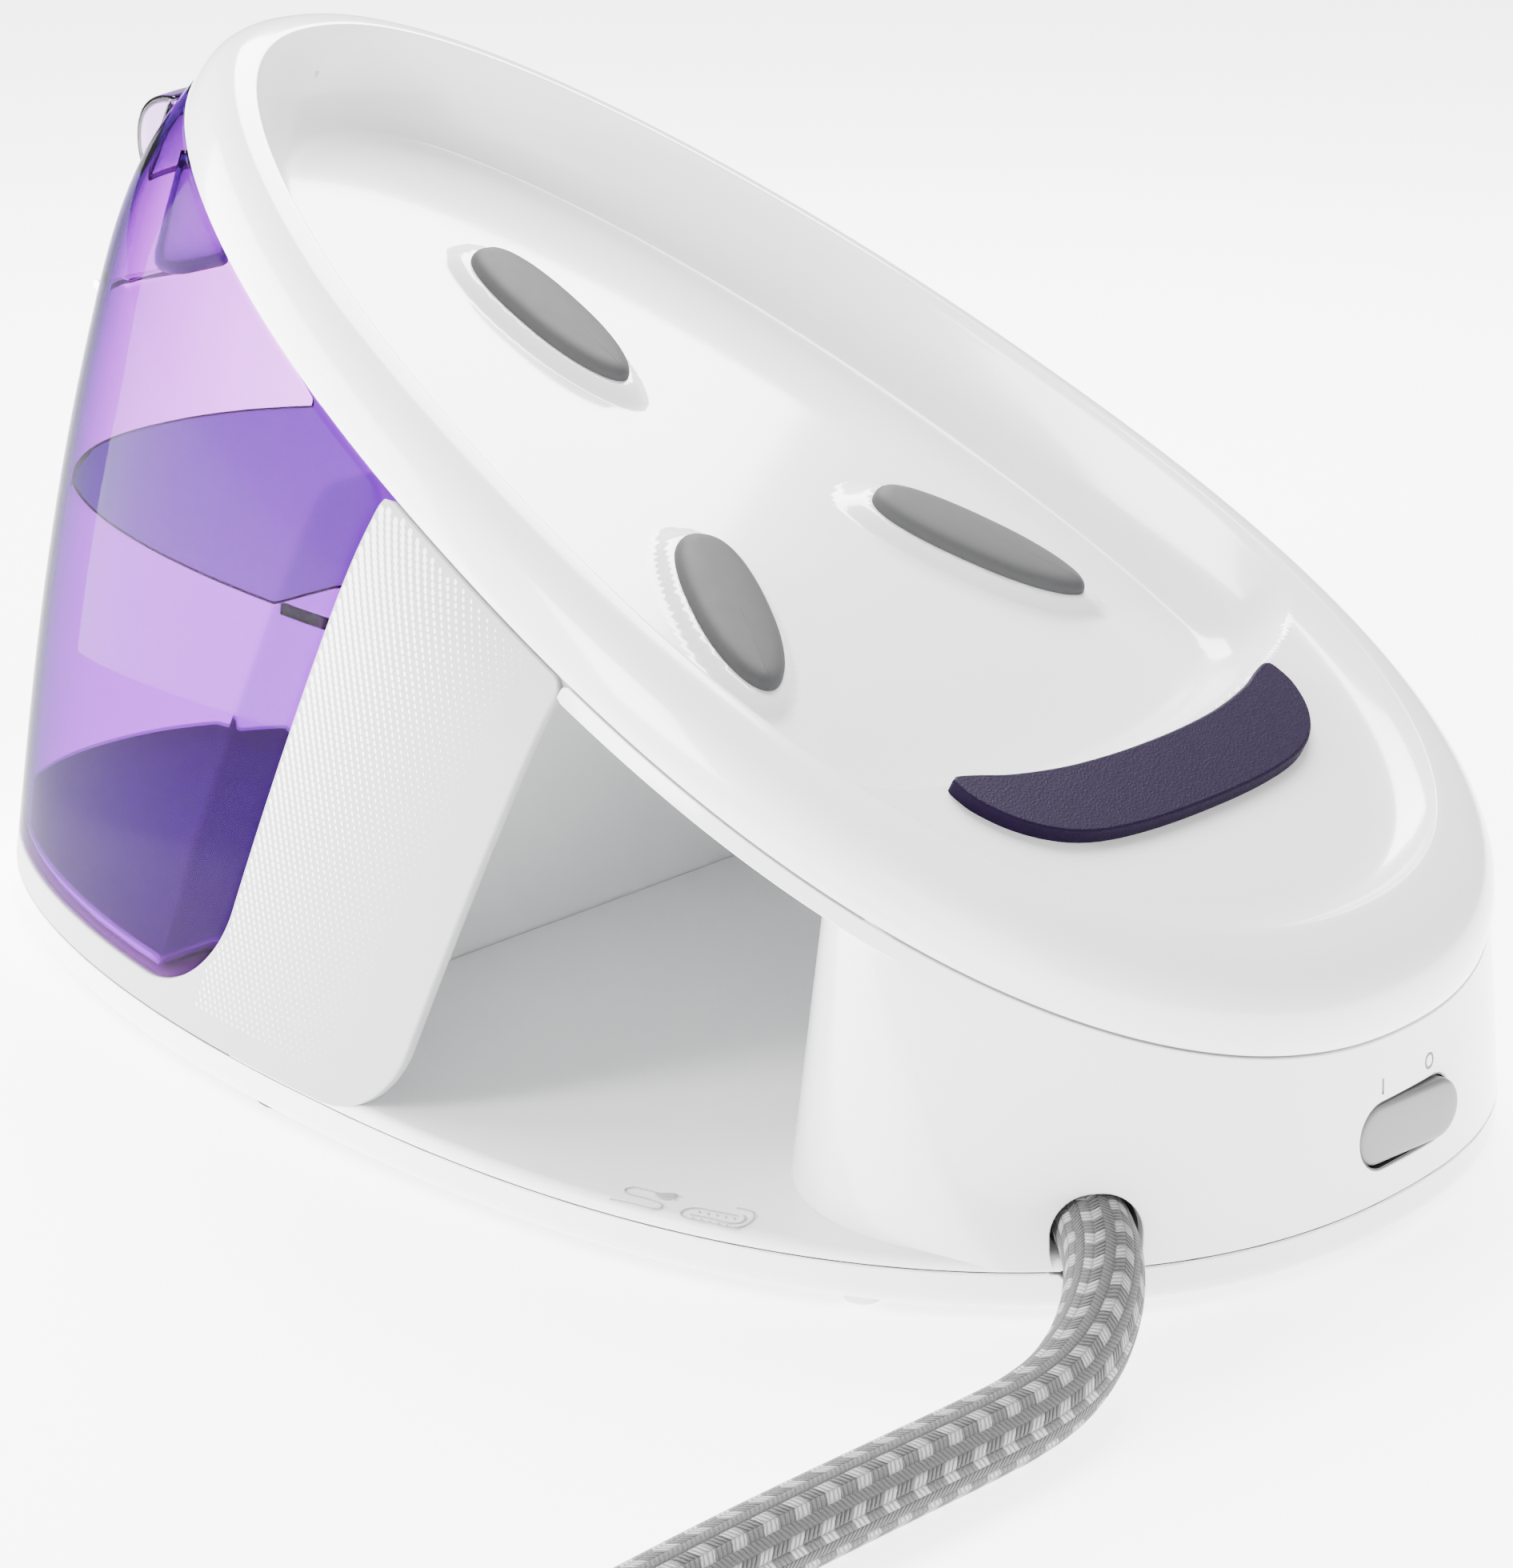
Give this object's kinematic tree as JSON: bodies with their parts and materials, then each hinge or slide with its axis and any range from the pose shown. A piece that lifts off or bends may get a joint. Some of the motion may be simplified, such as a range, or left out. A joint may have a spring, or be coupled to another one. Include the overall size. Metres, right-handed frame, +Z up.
{
  "type": "steam generator iron base",
  "caption": "Oval steam generator base with sloping iron dish, pull-off translucent water tank, open hose bay, rocker switch and a coiled steam hose.",
  "frame": {"origin": "on the table under the middle of the oval base", "axes": "+Z up, +X along the base towards the low end with the power switch, -Y towards the side with the open hose bay"},
  "size_m": [0.3677, 0.6317, 0.1961],
  "materials": {
    "gloss_white": "polished moulded plastic",
    "satin_white": "satin moulded plastic with a printed pattern of white leaf-shaped dots",
    "pad_grey": "satin heat-resistant silicone",
    "dock_purple": "fine leather grain",
    "tank_purple": "clear tinted plastic, polished",
    "switch_grey": "satin",
    "black_plastic": "moulded",
    "foot_rubber": "matt",
    "hose_rubber": "matt",
    "hose_sleeve": "woven grey sleeve with light checks",
    "silicone": "clear silicone tube",
    "cast_metal": "as cast",
    "steel": "zinc plated",
    "board_green": "lacquered circuit board"
  },
  "bodies": {
    "base": {"base_tray": "gloss_white", "foot_1": "foot_rubber", "foot_2": "foot_rubber", "foot_3": "foot_rubber", "foot_4": "foot_rubber", "foot_5": "foot_rubber", "tray_screw_1": "steel", "tray_screw_2": "steel", "tray_screw_3": "steel", "tray_screw_4": "steel", "rear_housing": "satin_white", "front_housing": "gloss_white", "bay_liner": "gloss_white", "lower_deck": "gloss_white", "top_cover": "gloss_white", "rest_pad_1": "pad_grey", "rest_pad_2": "pad_grey", "rest_pad_3": "pad_grey", "heel_dock": "dock_purple", "tank_socket": "gloss_white", "tank_outlet_seal": "foot_rubber", "switch_housing": "black_plastic", "water_pump": "black_plastic", "pump_mount": "foot_rubber", "boiler": "cast_metal", "boiler_bracket": "steel", "boiler_thermostat": "black_plastic", "boiler_outlet_tube": "silicone", "steam_valve": "black_plastic", "valve_outlet_tube": "silicone", "suction_tube": "silicone", "feed_tube": "silicone", "control_board": "board_green", "terminal_block": "black_plastic", "mains_cord_gland": "black_plastic", "hose_coupling": "steel", "hose_strain_relief": "hose_rubber", "steam_hose": "hose_sleeve", "steam_hose_coil": "hose_sleeve", "steam_hose_tail": "hose_sleeve", "hose_connector": "black_plastic"},
    "tank": {"water_tank": "tank_purple", "valve_spring": "steel"},
    "filler_lid": {"tank_filler_lid": "tank_purple", "tank_lid_pin": "steel"},
    "outlet_valve": {"tank_outlet_valve": "black_plastic"},
    "rocker": {"power_rocker": "switch_grey"}
  },
  "joints": [
    {"name": "tank_slide", "type": "slide", "parent": "base", "child": "tank", "axis": [-1, 0, 0], "range_m": [0, 0.19]},
    {"name": "lid_hinge", "type": "hinge", "parent": "tank", "child": "filler_lid", "pos_m": [-0.1482, 0, 0.1364], "axis": [0, -1, 0], "range_deg": [0, 100]},
    {"name": "valve_slide", "type": "slide", "parent": "tank", "child": "outlet_valve", "axis": [-1, 0, 0], "range_m": [0, 0.004], "stiffness_N_per_m": 300},
    {"name": "rocker_hinge", "type": "hinge", "parent": "base", "child": "rocker", "pos_m": [0.1775, 0, 0.0243], "axis": [0, 0, 1], "range_deg": [0, 14]}
  ]
}
